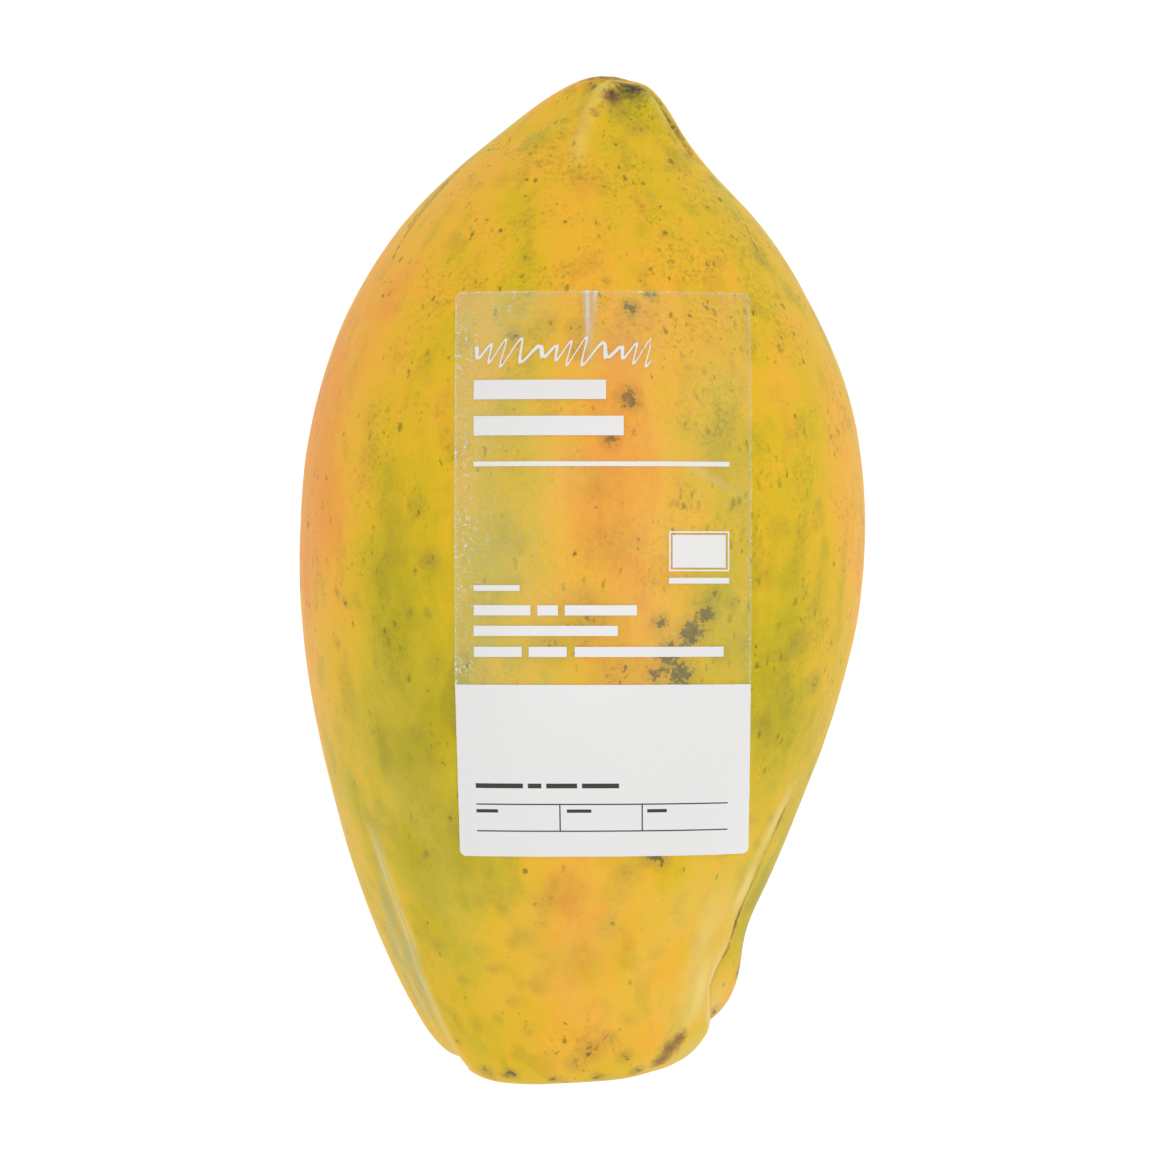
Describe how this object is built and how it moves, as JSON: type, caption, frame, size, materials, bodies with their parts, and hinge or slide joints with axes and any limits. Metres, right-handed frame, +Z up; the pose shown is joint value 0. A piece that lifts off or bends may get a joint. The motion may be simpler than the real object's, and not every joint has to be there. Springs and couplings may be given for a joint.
{
  "type": "papaya",
  "caption": "Whole ripe papaya lying on its side, with a pointed blossom end, a blunt ribbed stalk end and a film label along its upper face.",
  "frame": {"origin": "middle of the object's box in plan, on the surface that it rests on", "axes": "+Y along the fruit from its blunt stalk end to its pointed blossom end; +Z up, out through the label; +X to the right as seen from above with +Y away from the viewer"},
  "size_m": [0.1206, 0.2131, 0.1152],
  "materials": {
    "fruit_skin": "satin, waxy",
    "label_film": "semi-gloss film"
  },
  "bodies": {
    "root": {"fruit": "fruit_skin", "label": "label_film"}
  },
  "joints": []
}
